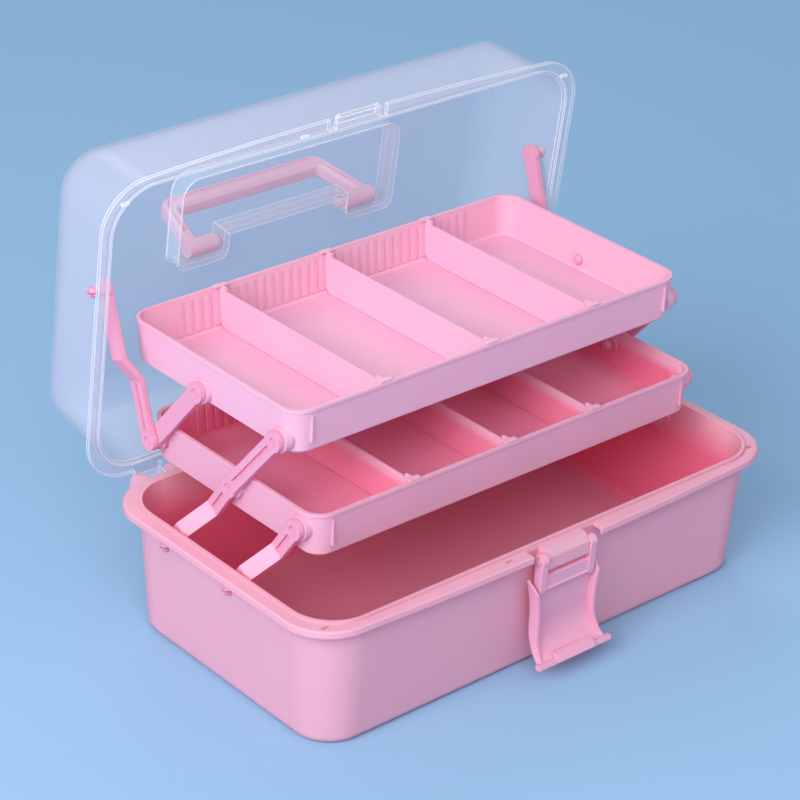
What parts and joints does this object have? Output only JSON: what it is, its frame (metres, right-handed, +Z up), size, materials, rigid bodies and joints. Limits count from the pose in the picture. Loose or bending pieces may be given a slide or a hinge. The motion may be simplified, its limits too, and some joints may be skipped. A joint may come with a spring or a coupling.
{
  "type": "craft storage box",
  "caption": "Cantilever craft box: deep bin with a flip latch, clear hinged lid with folding handle, and divided trays that rise on side levers as the lid opens.",
  "frame": {"origin": "centre of the flat face the bin rests on, under the middle of its opening", "axes": "+X along the length to the right seen from the latch side, -Y towards the latch side, +Z up; stored with the lid open as in the picture"},
  "size_m": [0.33, 0.298, 0.2595],
  "materials": {
    "clear_plastic": "frosted translucent",
    "pink_lever_plastic": "satin",
    "pink_tray_plastic": "satin",
    "pink_fitting_plastic": "satin",
    "pink_bin_plastic": "satin"
  },
  "bodies": {
    "bin": {"base_bin": "pink_bin_plastic"},
    "lid": {"lid_shell": "clear_plastic"},
    "handle": {"carry_handle": "pink_fitting_plastic"},
    "latch": {"front_latch": "pink_fitting_plastic"},
    "lower_tray": {"lower_tray": "pink_tray_plastic", "lower_divider_1": "pink_tray_plastic", "lower_divider_2": "pink_tray_plastic", "lower_divider_3": "pink_tray_plastic"},
    "upper_tray": {"upper_tray": "pink_tray_plastic", "upper_divider_1": "pink_tray_plastic", "upper_divider_2": "pink_tray_plastic", "upper_divider_3": "pink_tray_plastic"},
    "long_lever_left": {"long_lever_left": "pink_lever_plastic"},
    "long_lever_right": {"long_lever_right": "pink_lever_plastic"},
    "lower_link_left": {"lower_link_left": "pink_lever_plastic"},
    "lower_link_right": {"lower_link_right": "pink_lever_plastic"},
    "upper_link_left": {"upper_link_left": "pink_lever_plastic"},
    "upper_link_right": {"upper_link_right": "pink_lever_plastic"},
    "lid_link_left": {"lid_link_left": "pink_lever_plastic"},
    "lid_link_right": {"lid_link_right": "pink_lever_plastic"}
  },
  "joints": [
    {"name": "lid_hinge", "type": "hinge", "parent": "bin", "child": "lid", "pos_m": [0, 0.0975, 0.0658], "axis": [1, 0, 0], "range_deg": [0, 83]},
    {"name": "handle_hinge", "type": "hinge", "parent": "lid", "child": "handle", "pos_m": [0, 0.15069, 0.17006], "axis": [1, 0, 0], "range_deg": [0, 83]},
    {"name": "latch_hinge", "type": "hinge", "parent": "bin", "child": "latch", "pos_m": [0, -0.093, 0.0703], "axis": [-1, 0, 0], "range_deg": [0, 176]},
    {"name": "long_lever_left_pivot", "type": "hinge", "parent": "bin", "child": "long_lever_left", "pos_m": [-0.145, 0.0452, 0.0642], "axis": [1, 0, 0], "range_deg": [0, 29.88]},
    {"name": "lower_link_left_pivot", "type": "hinge", "parent": "bin", "child": "lower_link_left", "pos_m": [-0.145, -0.0084, 0.0642], "axis": [1, 0, 0], "range_deg": [0, 29.88]},
    {"name": "long_lever_right_pivot", "type": "hinge", "parent": "bin", "child": "long_lever_right", "pos_m": [0.145, 0.0452, 0.0642], "axis": [1, 0, 0], "range_deg": [0, 29.88]},
    {"name": "lower_link_right_pivot", "type": "hinge", "parent": "bin", "child": "lower_link_right", "pos_m": [0.145, -0.0084, 0.0642], "axis": [1, 0, 0], "range_deg": [0, 29.88]},
    {"name": "lower_tray_pivot", "type": "hinge", "parent": "long_lever_left", "child": "lower_tray", "pos_m": [-0.135, 0.0152, 0.107], "axis": [1, 0, 0], "range_deg": [-29.88, 0]},
    {"name": "upper_tray_pivot", "type": "hinge", "parent": "long_lever_left", "child": "upper_tray", "pos_m": [-0.135, -0.0214, 0.1499], "axis": [1, 0, 0], "range_deg": [-29.88, 0]},
    {"name": "upper_link_left_pivot", "type": "hinge", "parent": "lower_tray", "child": "upper_link_left", "pos_m": [-0.139, 0.0798, 0.107], "axis": [1, 0, 0], "range_deg": [0, 29.88]},
    {"name": "lid_link_left_pivot", "type": "hinge", "parent": "lid", "child": "lid_link_left", "pos_m": [-0.151, 0.10634, 0.18809], "axis": [1, 0, 0], "range_deg": [0, 23.03]},
    {"name": "upper_link_right_pivot", "type": "hinge", "parent": "lower_tray", "child": "upper_link_right", "pos_m": [0.139, 0.0798, 0.107], "axis": [1, 0, 0], "range_deg": [0, 29.88]},
    {"name": "lid_link_right_pivot", "type": "hinge", "parent": "lid", "child": "lid_link_right", "pos_m": [0.151, 0.10634, 0.18809], "axis": [1, 0, 0], "range_deg": [0, 23.03]}
  ],
  "couplings": [
    {"joint": "long_lever_left_pivot", "follows": "lid_hinge", "ratio": 0.36},
    {"joint": "lower_link_left_pivot", "follows": "lid_hinge", "ratio": 0.36},
    {"joint": "long_lever_right_pivot", "follows": "lid_hinge", "ratio": 0.36},
    {"joint": "lower_link_right_pivot", "follows": "lid_hinge", "ratio": 0.36},
    {"joint": "lower_tray_pivot", "follows": "lid_hinge", "ratio": -0.36},
    {"joint": "upper_tray_pivot", "follows": "lid_hinge", "ratio": -0.36},
    {"joint": "upper_link_left_pivot", "follows": "lid_hinge", "ratio": 0.36},
    {"joint": "lid_link_left_pivot", "follows": "lid_hinge", "ratio": 0.2775},
    {"joint": "upper_link_right_pivot", "follows": "lid_hinge", "ratio": 0.36},
    {"joint": "lid_link_right_pivot", "follows": "lid_hinge", "ratio": 0.2775}
  ]
}
